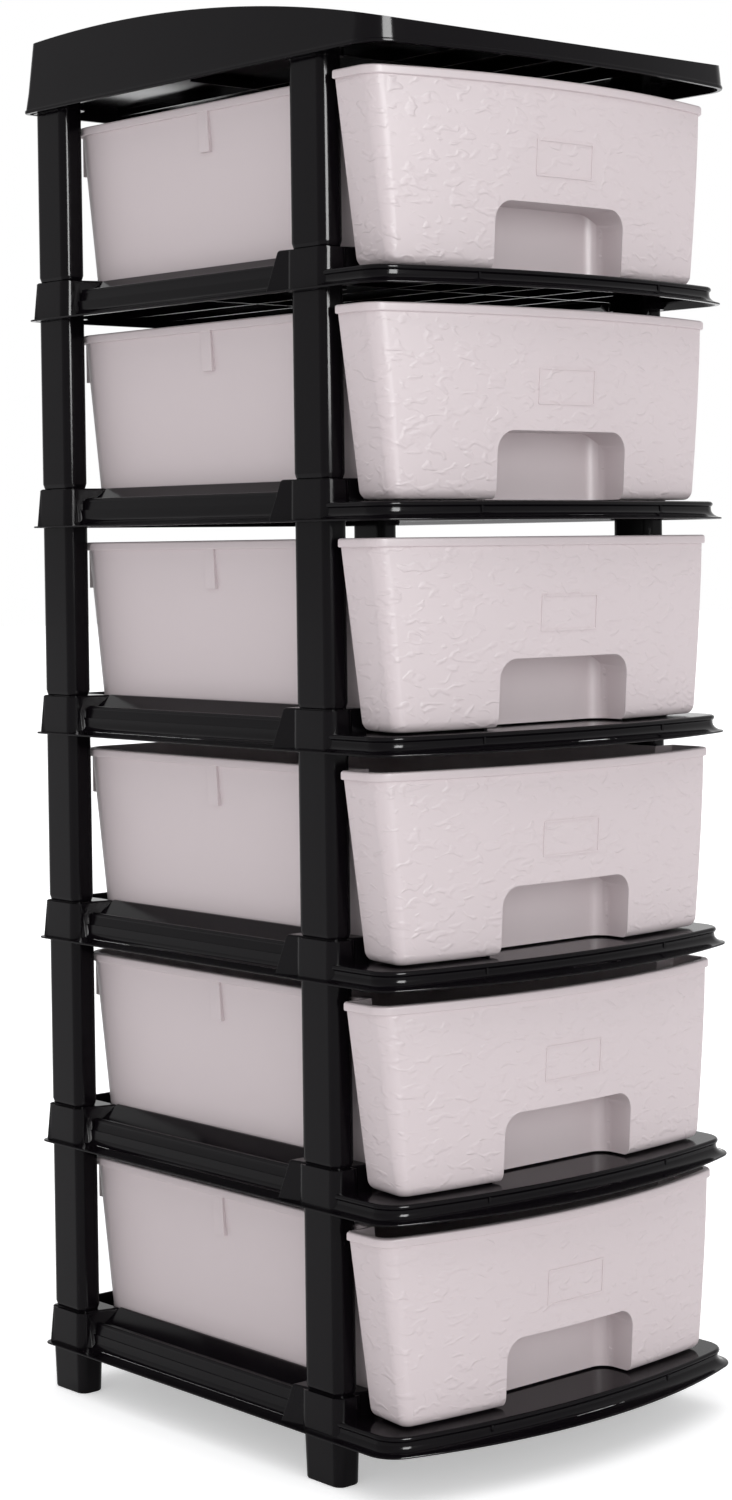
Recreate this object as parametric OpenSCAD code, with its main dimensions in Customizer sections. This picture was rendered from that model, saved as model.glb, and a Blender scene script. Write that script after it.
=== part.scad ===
// Plastic drawer tower.
// Moulded trays, the topmost of them the cover, are stacked on plug-in posts. Each tray
// carries one drawer, which slides forwards between the tray's two rails.
// Units are millimetres. +Z is up and the front is at -Y. The origin is on the floor,
// under the middle of the tower. Heights within a tray are above its lip, and heights
// within a drawer are above its base.

/* [Tower] */
// Number of drawers
tiers = 6; // [2:1:6]
// Height from one tray to the next
pitch = 165; // [162:1:180]
// Height of the lowest tray's lip above the floor
foot_h = 35.3; // [25:0.1:60]

/* [Trays] */
// Half of the width over the lip
tray_hw = 182.5; // [182:0.5:186]
// Half of the depth over the lip
tray_hd = 227.5; // [227.5:0.5:230]
// Radius of the lip's bowed front
bow_r = 490; // [470:10:560]
// Thickness of the moulded walls
wall = 2.4; // [2:0.1:2.4]
// Height of the deck
deck_h = 13.6; // [13:0.1:13.8]
// Height of the rails and sockets
rail_h = 31; // [30:0.5:33]
// Half of the gap between the rails
rail_hw = 140.5; // [140:0.5:141]

/* [Posts] */
// Width of a post
post_w = 21; // [20:0.5:21.5]
// Depth of a post
post_d = 40; // [38:1:40]
// Rounding of a post's edges
post_r = 5; // [4.5:0.5:6]
// Distance from the middle plane to the outer faces of the posts
post_face = 175.1; // [174.5:0.1:175.3]
// Where the front posts stand
front_post_y = -113.6; // [-114:0.1:-113]
// Where the rear posts stand
rear_post_y = 203.6; // [203:0.1:204]

/* [Drawers] */
// Height of a drawer
drawer_h = 138; // [130:0.5:141]
// Half of the width of the box below the rim
box_top = 151.5; // [149:0.5:151.5]
// Half of the width of the box at its base
box_base = 138; // [134:0.5:138]
// Half of the width of the front below the rim
head_top = 171; // [166:0.5:172]
// Half of the width of the front at its base
head_base = 155; // [152:0.5:157]
// Wall thickness of a drawer
skin = 2.4; // [2:0.1:3]
// Half of the width of the hand recess
pull_hw = 65.5; // [50:0.5:70]
// Height of the hand recess
pull_h = 49.5; // [40:0.5:60]

/* [Cover] */
// Height of the cover at the top of its arched sides
cover_h = 57.8; // [50:0.1:70]
// Radius of the arched top edge of the sides
arch_r = 1450; // [1400:10:1600]
// Where the arch is highest
arch_y = 140; // [120:5:160]

/* [Hidden] */
TIERS = [for (i = [1:tiers]) i];
CORNERS = ["front_left", "front_right", "rear_left", "rear_right"];

frame_black = "#211f22";
drawer_mauve = "#d6cccd";
tiny = 0.01;
open = 1;                         // how far a cut runs past the face it opens

// Lip and flare, shared by the trays and the cover
lip_t = 1.5;                      // thickness of the lip's edge
lip_step = 0.8;                   // ledge between the lip's edge and the flare
flare_h = 7.5;                    // height at which the flare meets the walls
lip_r = 25;                       // radius of the lip's front corners
rear_r = 8;                       // radius of the rear corners
rear_inset = 2.5;                 // from the lip to the rear wall

// Front ledge, ahead of the front sockets
ledge_hw = 175.5;
ledge_apex = -213;
ledge_bow_r = 700;
ledge_r = 22;
bead_t = 4;                       // height of the bead along the ledge's edge
bead_out = 1.2;                   // how far the bead stands out

// Sides between the sockets
side_hw = 167;                    // outer face of the side walls
rail_t = 2.5;                     // width of a rail's top
valley = [157, 18];               // bottom of the gutter beside a rail
side_bead = [162.4, 20.7];        // middle of the rolled bead along a side
side_bead_r = 2.3;

// Deck
deck_t = 2.5;
rib_t = 1.8;                      // thickness of the ribs under the deck
rib_h = 5.5;                      // how far they hang below it
runner_x = 70;                    // the two runners that a drawer slides on
runner_w = 3;
runner_h = 1.1;
runner_y = [-184, 200];
rib_pitch = 46;
rib_inset = 6.5;                  // where the ribs start, behind the front's apex

// Sockets, seen from the side: faces towards the front and the rear, at foot and top
front_socket = [[-137.5, -70], [-137.5, -81]];
rear_socket = [[167, 225], [175, 224]];
socket_hw = [180, 177.3];         // outer face at foot and top
split_y = front_socket[1][1] - 20;  // where the wider front part of a tray ends
pocket_h = 10;                    // depth of the pocket for a post's upper end
web_t = 3;                        // web between that pocket and the plug's
fit_gap = 0.15;                   // clearance round a post in its pockets

// Posts
post_x = post_face - post_w / 2;
post_wall = 2;
plug_step = 2;                    // how much smaller the plug is, on each side
plug_z = pocket_h + web_t;
post_end = pitch + pocket_h;
taper_h = 4;                      // height of the shoulder above the plug
shoulder = 1;                     // how much it narrows, on each side
foot_out = 1.4;                   // how much wider a foot is, on each side
foot_taper = 1;                   // how much it narrows down to the floor

// Drawers
drawer_z = deck_h + runner_h + 0.3;
shoulder_y = -142.7;              // rear face of the wide front
box_rear = [205, 207];            // rear wall at base and rim
box_r = 24;                       // radius of its rear corners
head_apex = [-195, -204.8];       // front at base and rim
head_bow = [1000, 600];           // radius of its bow
head_r = [8, 14];                 // radius of its front corners
head_splay = [3.5, 0];            // how much narrower it is at the shoulder
base_steps = [[0, 5], [2, 1.6], [7, 0]];  // height and inset of the rounded base
box_front = -154.5;               // where the box ends inside the wide front
rim_h = 6.5;                      // height of the rim's band
rim_out = 2;                      // how far it stands out
pull_back = -163.5;               // rear wall of the hand recess
pull_front = -219.5;              // ahead of all of the front
pull_r = 15;                      // its top corners
pull_corner_r = 12;               // its rear corners
label_w = 58;
label_d = 27;
label_z = 82;
label_line = 1.5;                 // width of the label frame's line
label_out = 0.7;                  // how far it stands out
lug_w = 12;                       // nesting lugs under the rim
lug_h = 30;
lug_out = 1.8;                    // how far they stand out
side_lug_y = 33.5;
rear_lug_x = 134;

// Cover: heights at the lip, where the front band turns upright, and at the top, with
// the outline's half width, rear edge, front apex, bow radius and corner radius at each
cover_z = [3, 16, cover_h];
cover_hw = [184, 182.5, 179];
cover_rear = [226.7, 225.2, 222.2];
cover_apex = [-214.2, -207.7, -203.7];
cover_bow = [1000, 1040, 1060];
cover_r = [21, 14, 14];
cover_lip = 0.8;                  // how far its lip stands out
gallery_t = 3;                    // thickness of the raised sides

// ---- helpers ----

function mix(pair, t) = pair[0] + (pair[1] - pair[0]) * t;

function arc(centre, r, from, to, steps) =
    [for (i = [0:steps]) let (a = mix([from, to], i / steps)) centre + r * [cos(a), sin(a)]];

// Outline that is symmetric in X, with a bowed front: half width, straight rear edge,
// front apex, radius of the bow, of the front corners and of the rear corners, and how
// much narrower it is at the rear
function bowed(hw, rear, apex, bow, front_r, back_r, splay = 0) =
    let (
        corner_x = hw - front_r,
        turn = asin(corner_x / (bow - front_r)),
        corner = [corner_x, apex + bow - (bow - front_r) * cos(turn)],
        back = back_r > 0
            ? arc([hw - back_r, rear - back_r], back_r, 0, 90, 4)
            : [[hw - splay, rear]],
        half = concat(
            arc([0, apex + bow], bow, 270, 270 + turn, 6),
            arc(corner, front_r, 270 + turn, 360, 5),
            back
        )
    )
    concat(half, [for (i = [len(half) - 1:-1:1]) [-half[i][0], half[i][1]]]);

// Outline that is symmetric in X, with a straight front: half width, front edge, rear
// edge and the radius of its rear corners
function squared(hw, front, rear, r) =
    let (half = concat([[hw, front]], r > 0 ? arc([hw - r, rear - r], r, 0, 90, 6) : [[hw, rear]]))
    concat(half, [for (i = [len(half) - 1:-1:0]) [-half[i][0], half[i][1]]]);

module slab(points, z, t = tiny) {
    translate([0, 0, z]) linear_extrude(t) polygon(points);
}

module both_sides() {
    children();
    mirror([1, 0, 0]) children();
}

// A profile in X and Z, drawn out along Y
module along_y(from, to) {
    translate([0, to, 0]) rotate([90, 0, 0]) linear_extrude(to - from) children();
}

// A profile in Y and Z, drawn out along X
module along_x(from, to) {
    translate([from, 0, 0]) rotate([90, 0, 90]) linear_extrude(to - from) children();
}

module round_rect(size, r) {
    square([size[0] - 2 * r, size[1]], center = true);
    square([size[0], size[1] - 2 * r], center = true);
    for (x = [-1, 1], y = [-1, 1])
        translate([x * (size[0] / 2 - r), y * (size[1] / 2 - r)]) circle(r, $fn = 32);
}

// ---- posts and feet ----

module post_section(inset = 0) {
    round_rect([post_w - 2 * inset, post_d - 2 * inset], post_r - inset / 2);
}

// Side view of a post: half its width, and narrower by inset on each side at its foot
module narrowed(half, z0, z1, top, inset) {
    foot = half - inset;
    polygon([[-foot, z0], [foot, z0], [half, z1], [half, top], [-half, top], [-half, z1]]);
}

// A post, or one that is wider by out on all four sides, that is narrower by inset at
// height z0 than at z1
module tapered_post(z0, z1, top, inset, out = 0) {
    w = post_w / 2 + out;
    d = post_d / 2 + out;
    intersection() {
        along_y(-d, d) narrowed(w, z0, z1, top, inset);
        along_x(-w, w) narrowed(d, z0, z1, top, inset);
        translate([0, 0, z0]) linear_extrude(top - z0) post_section(-out);
    }
}

module post() {
    color(frame_black) difference() {
        union() {
            translate([0, 0, plug_z]) linear_extrude(rail_h - plug_z) post_section(plug_step);
            tapered_post(rail_h, rail_h + taper_h, post_end, shoulder);
        }
        translate([0, 0, plug_z - open]) linear_extrude(rail_h)
            post_section(plug_step + post_wall);
        translate([0, 0, rail_h + taper_h]) linear_extrude(pitch) post_section(post_wall);
    }
}

module foot() {
    top = foot_h + pocket_h;
    color(frame_black) difference() {
        union() {
            tapered_post(0, foot_h, foot_h, foot_taper, foot_out);
            linear_extrude(top) post_section();
        }
        translate([0, 0, post_wall]) linear_extrude(top) post_section(post_wall);
    }
}

function side_of(corner) = corner == "front_left" || corner == "rear_left" ? -1 : 1;
function row_of(corner) =
    corner == "front_left" || corner == "front_right" ? front_post_y : rear_post_y;

module at_corner(corner) {
    translate([side_of(corner) * post_x, row_of(corner), 0]) children();
}

// ---- sockets ----

// The outside of a socket on the right-hand side, or its inside where inset is a wall
module socket_block(faces, inset = 0) {
    top = rail_h - inset;
    foot = inset > 0 ? -open : lip_t;
    intersection() {
        along_y(faces[0][0] - open, faces[0][1] + open)
            polygon([
                [rail_hw + inset, foot], [socket_hw[0] - inset, foot],
                [socket_hw[1] - inset, top], [rail_hw + inset, top]
            ]);
        along_x(rail_hw - open, tray_hw)
            polygon([
                [faces[0][0] + inset, foot], [faces[0][1] - inset, foot],
                [faces[1][1] - inset, top], [faces[1][0] + inset, top]
            ]);
    }
}

// The tube inside a socket that holds the posts, up to a height
module socket_tube(at, top) {
    translate([post_x, at, 0]) linear_extrude(lip_t + tiny) post_section(-wall);
    intersection() {
        translate([post_x, at, 0]) linear_extrude(top) post_section(-wall);
        along_y(at - post_d, at + post_d)
            polygon([[0, 0], [socket_hw[0], 0], [socket_hw[1], rail_h], [0, rail_h]]);
    }
}

module upper_end_pocket(at) {
    translate([post_x, at, -open]) linear_extrude(pocket_h + open) post_section(-fit_gap);
}

module plug_pocket(at) {
    translate([post_x, at, plug_z]) linear_extrude(rail_h)
        post_section(plug_step - fit_gap);
}

// ---- trays ----

function lip_outline(inset) =
    bowed(tray_hw - inset, tray_hd - inset, inset - tray_hd, bow_r - inset,
        lip_r - inset / 2, rear_r - inset / 2);

// The lip ahead of the front sockets
function front_lip_outline(inset) =
    bowed(tray_hw - inset, split_y, inset - tray_hd, bow_r - inset, lip_r - inset / 2, 0);

function ledge_outline(inset) =
    bowed(ledge_hw - inset, split_y, ledge_apex + inset, ledge_bow_r - inset, ledge_r, 0);

// What lies behind the front sockets
function rear_outline(hw, rear, r = 0) = squared(hw, split_y - 1, rear, r);

module tray_form() {
    slab(lip_outline(0), 0, lip_t);
    hull() {
        slab(front_lip_outline(lip_step), lip_t);
        slab(ledge_outline(bead_out), flare_h);
    }
    slab(ledge_outline(bead_out), flare_h, deck_h - flare_h);
    slab(ledge_outline(0), deck_h - bead_t, bead_t);
    hull() {
        slab(rear_outline(tray_hw - lip_step, tray_hd - lip_step, rear_r), lip_t);
        slab(rear_outline(side_hw, tray_hd - rear_inset), flare_h);
    }
    slab(rear_outline(side_hw, tray_hd - rear_inset), flare_h, deck_h - flare_h);
    both_sides() {
        side_rail();
        socket_block(front_socket);
        socket_block(rear_socket);
    }
    rear_wall();
}

// Rail, gutter and rolled bead along one side, between the sockets
module side_rail() {
    along_y(front_socket[1][1] - open, rear_socket[1][0] + open) {
        polygon([
            [rail_hw, flare_h], [rail_hw, rail_h], [rail_hw + rail_t, rail_h], valley,
            side_bead, side_bead + [side_bead_r, 0], [side_hw, flare_h]
        ]);
        translate(side_bead) circle(side_bead_r, $fn = 32);
    }
}

module rear_wall() {
    y = tray_hd - rear_inset;
    along_x(-rail_hw - wall, rail_hw + wall)
        polygon([[y - wall, flare_h], [y, flare_h], [y - 1, rail_h], [y - 1 - wall, rail_h]]);
}

// Everything that is hollow from below
module tray_hollow() {
    roof = deck_h - deck_t;
    flare_roof = flare_h - lip_t;
    edge = lip_step + wall;
    hull() {
        slab(front_lip_outline(edge), -open, open);
        slab(ledge_outline(bead_out + wall), flare_roof);
    }
    slab(ledge_outline(bead_out + wall), flare_roof, roof - flare_roof);
    hull() {
        slab(rear_outline(tray_hw - edge, tray_hd - edge, rear_r - wall), -open, open);
        slab(rear_outline(side_hw - wall, tray_hd - rear_inset - wall), flare_roof);
    }
    slab(rear_outline(side_hw - wall, tray_hd - rear_inset - wall), flare_roof, roof - flare_roof);
    both_sides() {
        rail_hollow();
        socket_block(front_socket, wall);
        socket_block(rear_socket, wall);
    }
}

module rail_hollow() {
    drop = 1.4 * wall;
    foot = flare_h - lip_t;
    along_y(front_socket[1][1] - wall - open, rear_socket[1][0] + wall + open)
        polygon([
            [rail_hw + wall, foot], [rail_hw + wall, rail_h - drop], valley - [0, drop],
            side_bead - [wall / 2, 2 * wall], [side_hw - wall - 1, side_bead[1] - 2 * wall],
            [side_hw - wall, foot]
        ]);
}

module runners() {
    both_sides()
        translate([runner_x - runner_w / 2, runner_y[0], deck_h - tiny])
            cube([runner_w, runner_y[1] - runner_y[0], runner_h + tiny]);
}

// Ribs that stiffen a deck from below
module deck_ribs(front) {
    rear = tray_hd - rear_inset - wall / 2;
    z = deck_h - deck_t - rib_h;
    for (i = [-2:2])
        translate([i * rib_pitch - rib_t / 2, front, z]) cube([rib_t, rear - front, rib_h + tiny]);
    for (y = [front_post_y, (front_post_y + rear_post_y) / 2])
        translate([-post_x + post_w / 2, y - rib_t / 2, z])
            cube([2 * post_x - post_w, rib_t, rib_h + tiny]);
}

module shelf_tray() {
    color(frame_black) difference() {
        union() {
            difference() {
                tray_form();
                tray_hollow();
            }
            runners();
            deck_ribs(ledge_apex + rib_inset);
            both_sides() {
                socket_tube(front_post_y, rail_h);
                socket_tube(rear_post_y, rail_h);
            }
        }
        both_sides() {
            upper_end_pocket(front_post_y);
            upper_end_pocket(rear_post_y);
            plug_pocket(front_post_y);
            plug_pocket(rear_post_y);
        }
    }
}

// ---- cover ----

// Outline of the cover between its lip and its top edge
function cover_outline(z, inset) =
    let (
        low = z < cover_z[1],
        t = low
            ? (z - cover_z[0]) / (cover_z[1] - cover_z[0])
            : (z - cover_z[1]) / (cover_z[2] - cover_z[1]),
        i = low ? 0 : 1
    )
    bowed(
        mix([cover_hw[i], cover_hw[i + 1]], t) - inset,
        mix([cover_rear[i], cover_rear[i + 1]], t) - inset,
        mix([cover_apex[i], cover_apex[i + 1]], t) + inset,
        mix([cover_bow[i], cover_bow[i + 1]], t) - inset,
        mix([cover_r[i], cover_r[i + 1]], t) - inset / 2, rear_r - inset / 2
    );

module cover_form() {
    slab(cover_outline(cover_z[0], -cover_lip), 0, cover_z[0]);
    intersection() {
        union() {
            hull() {
                slab(cover_outline(cover_z[0], 0), cover_z[0]);
                slab(cover_outline(cover_z[1], 0), cover_z[1]);
            }
            hull() {
                slab(cover_outline(cover_z[1], 0), cover_z[1]);
                slab(cover_outline(cover_z[2], 0), cover_z[2]);
            }
        }
        translate([-tray_hd, arch_y, cover_h - arch_r]) rotate([0, 90, 0])
            cylinder(r = arch_r, h = 2 * tray_hd, $fn = 720);
    }
}

// The tray that is sunk into the top
module cover_gallery() {
    slab(cover_outline(cover_h, gallery_t), deck_h, cover_h);
}

module cover_hollow() {
    roof = deck_h - deck_t;
    hull() {
        slab(cover_outline(cover_z[0], wall), -open, open);
        slab(cover_outline(roof, 1.5 * wall), roof);
    }
}

module top_cover() {
    color(frame_black) difference() {
        union() {
            difference() {
                cover_form();
                cover_gallery();
                cover_hollow();
            }
            deck_ribs(cover_apex[1] + rib_inset);
            both_sides() {
                socket_tube(front_post_y, deck_h);
                socket_tube(rear_post_y, deck_h);
            }
        }
        both_sides() {
            upper_end_pocket(front_post_y);
            upper_end_pocket(rear_post_y);
        }
    }
}

// ---- drawers ----

function head_outline(z, inset) =
    let (t = z / drawer_h)
    bowed(mix([head_base, head_top], t) - inset, shoulder_y - max(inset, 0),
        mix(head_apex, t) + inset, mix(head_bow, t) - inset, mix(head_r, t) - inset / 2, 0,
        mix(head_splay, t));

function box_outline(z, inset) =
    let (t = z / drawer_h)
    squared(mix([box_base, box_top], t) - inset, box_front, mix(box_rear, t) - inset, box_r - inset / 2);

// The wide front of a drawer, with a rounded base
module head_form(inset = 0) {
    floor_z = max(inset, 0);
    hull() {
        for (s = base_steps) slab(head_outline(s[0], s[1] + inset), s[0] + floor_z);
        slab(head_outline(drawer_h, inset), drawer_h - tiny + floor_z);
    }
}

module box_form(inset = 0) {
    hull() {
        for (s = base_steps) slab(box_outline(s[0], s[1] + inset), s[0] + inset);
        slab(box_outline(drawer_h, inset), drawer_h - tiny + inset);
    }
}

// The hand recess, open in front and below, or the walls round it where grow is a wall
module pull(grow = 0) {
    hw = pull_hw + grow;
    rear = pull_back + grow;
    r = pull_corner_r + grow;
    intersection() {
        along_y(pull_front, rear) {
            translate([-hw, -open]) square([2 * hw, pull_h + grow - pull_r + open]);
            translate([pull_r - hw, 0]) square([2 * (hw - pull_r), pull_h + grow]);
            for (x = [pull_r - hw, hw - pull_r])
                translate([x, pull_h + grow - pull_r]) circle(pull_r, $fn = 48);
        }
        translate([0, 0, -open]) linear_extrude(drawer_h) {
            translate([-hw, pull_front]) square([2 * hw, rear - r - pull_front]);
            translate([r - hw, pull_front]) square([2 * (hw - r), rear - pull_front]);
            for (x = [r - hw, hw - r]) translate([x, rear - r]) circle(r, $fn = 48);
        }
    }
}

module rim_band() {
    z = drawer_h - rim_h;
    slab(head_outline(drawer_h, -rim_out), z, rim_h);
    slab(box_outline(drawer_h, -rim_out), z, rim_h);
}

// Lugs under the rim that stop empty drawers from jamming when they are nested
module nesting_lugs() {
    top = drawer_h - rim_h;
    z = top - lug_h;
    both_sides() {
        intersection() {
            hull() {
                slab(box_outline(z, -lug_out), z);
                slab(box_outline(top, -lug_out), top);
            }
            translate([box_base, side_lug_y - lug_w / 2, 0]) cube([box_top, lug_w, drawer_h]);
        }
        intersection() {
            slab(box_outline(drawer_h, -lug_out), z, lug_h + tiny);
            translate([rear_lug_x - lug_w / 2, box_rear[0] - box_r, 0])
                cube([lug_w, 2 * box_r, drawer_h]);
        }
    }
}

module label_frame() {
    intersection() {
        head_form(-label_out);
        along_y(pull_front, mix(head_apex, 0.5) + wall)
            translate([0, label_z]) difference() {
                square([label_w, label_d], center = true);
                square([label_w - 2 * label_line, label_d - 2 * label_line], center = true);
            }
    }
}

module drawer() {
    color(drawer_mauve) difference() {
        union() {
            head_form();
            box_form();
            rim_band();
            nesting_lugs();
            label_frame();
        }
        difference() {
            union() {
                head_form(skin);
                box_form(skin);
            }
            pull(skin);
        }
        pull();
    }
}

// ---- the tower ----

function tray_z(i) = foot_h + (i - 1) * pitch;

for (c = CORNERS)
    at_corner(c) foot();
for (i = TIERS)
    translate([0, 0, tray_z(i)]) shelf_tray();
for (i = TIERS, c = CORNERS)
    translate([0, 0, tray_z(i)]) at_corner(c) post();
translate([0, 0, tray_z(tiers + 1)]) top_cover();
for (i = TIERS)
    translate([0, 0, tray_z(i) + drawer_z]) drawer();
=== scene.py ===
"""Plastic drawer tower: the looks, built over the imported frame.

Every piece is drawn in millimetres, in the frame's own axes, and turned into metres where
its points are placed. The front is at -Y and the floor is at Z = 0.
"""

from __future__ import annotations

import logging
import math
from abc import ABC, abstractmethod
from collections.abc import Iterator, Sequence
from contextlib import contextmanager
from dataclasses import astuple, dataclass, field, replace
from enum import Enum
from typing import Self

import bmesh
import bpy
from mathutils import Matrix, Vector

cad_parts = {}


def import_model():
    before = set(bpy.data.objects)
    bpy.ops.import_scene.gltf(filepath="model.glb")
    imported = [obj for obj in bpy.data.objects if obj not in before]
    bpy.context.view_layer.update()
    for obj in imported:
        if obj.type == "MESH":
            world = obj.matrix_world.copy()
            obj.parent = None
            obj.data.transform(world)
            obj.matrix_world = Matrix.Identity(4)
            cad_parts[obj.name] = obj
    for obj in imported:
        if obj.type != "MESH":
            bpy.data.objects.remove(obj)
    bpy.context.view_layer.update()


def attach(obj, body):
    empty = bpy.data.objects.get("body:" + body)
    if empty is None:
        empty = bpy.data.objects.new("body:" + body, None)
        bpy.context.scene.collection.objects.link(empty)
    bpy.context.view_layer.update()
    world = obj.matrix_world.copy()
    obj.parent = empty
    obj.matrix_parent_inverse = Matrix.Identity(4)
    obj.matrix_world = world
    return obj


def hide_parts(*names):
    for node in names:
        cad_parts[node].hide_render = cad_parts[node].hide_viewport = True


log = logging.getLogger("drawer_tower")

MM = 0.001

# Sizes in millimetres that more than one sub-assembly takes.
TIERS = 6
PITCH = 165.0
FOOT_HEIGHT = 35.3
WALL = 2.4
DECK = 13.6
DECK_THICKNESS = 2.5

# How far an added solid sinks into the one it joins, and a cutter reaches past a face.
BITE = 0.5
PAST = 1.0

# Points this close, in millimetres, are one. Angles are in degrees.
DOUBLED = 0.02
FLAT = 0.3
SHADED_AS_ONE = 30.0

Point2 = tuple[float, float]
Point3 = tuple[float, float, float]
Piece = bpy.types.Object
Socket = bpy.types.NodeSocket


class Joinery(Enum):
    """How one solid is worked with another."""

    ADD = "UNION"
    CUT = "DIFFERENCE"
    KEEP = "INTERSECT"


class Axis(Enum):
    """The axis that a profile is drawn out along."""

    X = 0
    Y = 1
    Z = 2


# ---- outlines ----


def arc(centre: Point2, radius: float, start: float, end: float, steps: int) -> list[Point2]:
    """Points along an arc.

    Args:
        centre: The arc's middle.
        radius: Its radius.
        start: Angle of the first point, in degrees.
        end: Angle of the last point, in degrees.
        steps: How many chords it is divided into.

    Returns:
        The points, both ends included.
    """
    angles = [math.radians(start + (end - start) * i / steps) for i in range(steps + 1)]
    return [(centre[0] + radius * math.cos(a), centre[1] + radius * math.sin(a)) for a in angles]


def rounded(corners: Sequence[tuple[float, float, float]], steps: int = 4) -> list[Point2]:
    """Rounds the corners of a profile.

    Args:
        corners: Each corner's two coordinates and the radius it gets, 0 for a sharp one.
        steps: Chords in each rounding.

    Returns:
        The profile's points.
    """
    points: list[Point2] = []
    count = len(corners)
    for i, (x, y, radius) in enumerate(corners):
        if radius <= 0:
            points.append((x, y))
            continue
        here = Vector((x, y))
        back = (Vector(corners[i - 1][:2]) - here).normalized()
        ahead = (Vector(corners[(i + 1) % count][:2]) - here).normalized()
        half = back.angle(ahead) / 2
        reach = radius / math.tan(half)
        centre = here + (back + ahead).normalized() * (radius / math.sin(half))
        first = here + back * reach - centre
        last = here + ahead * reach - centre
        for k in range(steps + 1):
            spoke = first.slerp(last, k / steps)
            points.append((centre.x + spoke.x, centre.y + spoke.y))
    return points


def quarter_turn(steps: int = 6) -> list[Point2]:
    """Sine and cosine at even steps over a quarter turn."""
    angles = [math.radians(90 / steps * k) for k in range(steps + 1)]
    return [(math.sin(a), math.cos(a)) for a in angles]


@dataclass(frozen=True)
class Outline(ABC):
    """A plan outline in millimetres, the same on both sides of the middle plane."""

    half_width: float

    LEAST_R = 0.4
    BACK_STEPS = 6

    @abstractmethod
    def inset(self, by: float) -> Self:
        """The outline moved in by a distance, or out by a negative one."""

    @abstractmethod
    def points(self) -> list[Point2]:
        """The outline's points, counterclockwise seen from above."""

    def toward(self, other: Self, t: float) -> Self:
        """The outline part of the way, 0 to 1, from this one to another."""
        pairs = zip(astuple(self), astuple(other))
        return type(self)(*(a + (b - a) * t for a, b in pairs))


@dataclass(frozen=True)
class Bowed(Outline):
    """An outline with straight sides and back and a bowed front."""

    rear: float
    apex: float
    bow: float
    front_r: float
    back_r: float = 0.0
    splay: float = 0.0

    LEAST_FRONT_R = 0.8
    BOW_STEPS = 12
    CORNER_STEPS = 8

    def inset(self, by: float) -> Bowed:
        """The outline moved in; a back without rounded corners doesn't move out."""
        return replace(
            self,
            half_width=self.half_width - by,
            rear=self.rear - (by if self.back_r > 0 else max(by, 0.0)),
            apex=self.apex + by,
            bow=self.bow - by,
            front_r=max(self.front_r - by / 2, self.LEAST_FRONT_R),
            back_r=max(self.back_r - by / 2, self.LEAST_R) if self.back_r > 0 else 0.0,
        )

    def points(self) -> list[Point2]:
        """The outline's points, counterclockwise seen from above."""
        corner_x = self.half_width - self.front_r
        reach = self.bow - self.front_r
        turn = math.degrees(math.asin(corner_x / reach))
        corner = (corner_x, self.apex + self.bow - reach * math.cos(math.radians(turn)))
        half = arc((0.0, self.apex + self.bow), self.bow, 270, 270 + turn, self.BOW_STEPS)
        half += arc(corner, self.front_r, 270 + turn, 360, self.CORNER_STEPS)[1:]
        if self.back_r > 0:
            back = (self.half_width - self.back_r, self.rear - self.back_r)
            half += arc(back, self.back_r, 0, 90, self.BACK_STEPS)
        else:
            half.append((self.half_width - self.splay, self.rear))
        return half + [(-x, y) for x, y in reversed(half[1:])]


@dataclass(frozen=True)
class Squared(Outline):
    """An outline with a straight front and rounded rear corners."""

    front: float
    rear: float
    back_r: float

    def inset(self, by: float) -> Squared:
        """The outline moved in at its sides and back."""
        return replace(
            self,
            half_width=self.half_width - by,
            rear=self.rear - by,
            back_r=max(self.back_r - by / 2, self.LEAST_R),
        )

    def points(self) -> list[Point2]:
        """The outline's points, counterclockwise seen from above."""
        centre = (self.half_width - self.back_r, self.rear - self.back_r)
        half = [(self.half_width, self.front)]
        half += arc(centre, self.back_r, 0, 90, self.BACK_STEPS)
        return half + [(-x, y) for x, y in reversed(half)]


def ring(outline: Outline, z: float) -> list[Point3]:
    """An outline's points at one height."""
    return [(x, y, z) for x, y in outline.points()]


def oblong(x: Point2, y: Point2, z: float, r: float, steps: int = 6) -> list[Point3]:
    """A rectangle with rounded corners at one height.

    Args:
        x: Its lowest and highest X.
        y: Its lowest and highest Y.
        z: Its height.
        r: The corners' radius.
        steps: Chords in each corner.

    Returns:
        The points of the ring.
    """
    flat: list[Point2] = []
    for cx, cy, start in ((x[1] - r, y[1] - r, 0), (x[0] + r, y[1] - r, 90),
                          (x[0] + r, y[0] + r, 180), (x[1] - r, y[0] + r, 270)):
        flat += arc((cx, cy), r, start, start + 90, steps)
    return [(a, b, z) for a, b in flat]


# ---- bench work ----


def take_up(*pieces: Piece) -> None:
    """Selects these pieces and nothing else, and makes the first of them active."""
    if bpy.context.object and bpy.context.object.mode != "OBJECT":
        bpy.ops.object.mode_set(mode="OBJECT")
    bpy.ops.object.select_all(action="DESELECT")
    for piece in pieces:
        piece.select_set(True)
    if pieces:
        bpy.context.view_layer.objects.active = pieces[0]


@contextmanager
def editing(piece: Piece) -> Iterator[bmesh.types.BMesh]:
    """Opens a piece in edit mode and closes it afterwards."""
    take_up(piece)
    bpy.ops.object.mode_set(mode="EDIT")
    yield bmesh.from_edit_mesh(piece.data)
    bmesh.update_edit_mesh(piece.data)
    bpy.ops.object.mode_set(mode="OBJECT")


def face_outwards() -> None:
    """Turns every face of the piece in edit mode outwards."""
    bpy.ops.mesh.select_all(action="SELECT")
    bpy.ops.mesh.normals_make_consistent(inside=False)


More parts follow.
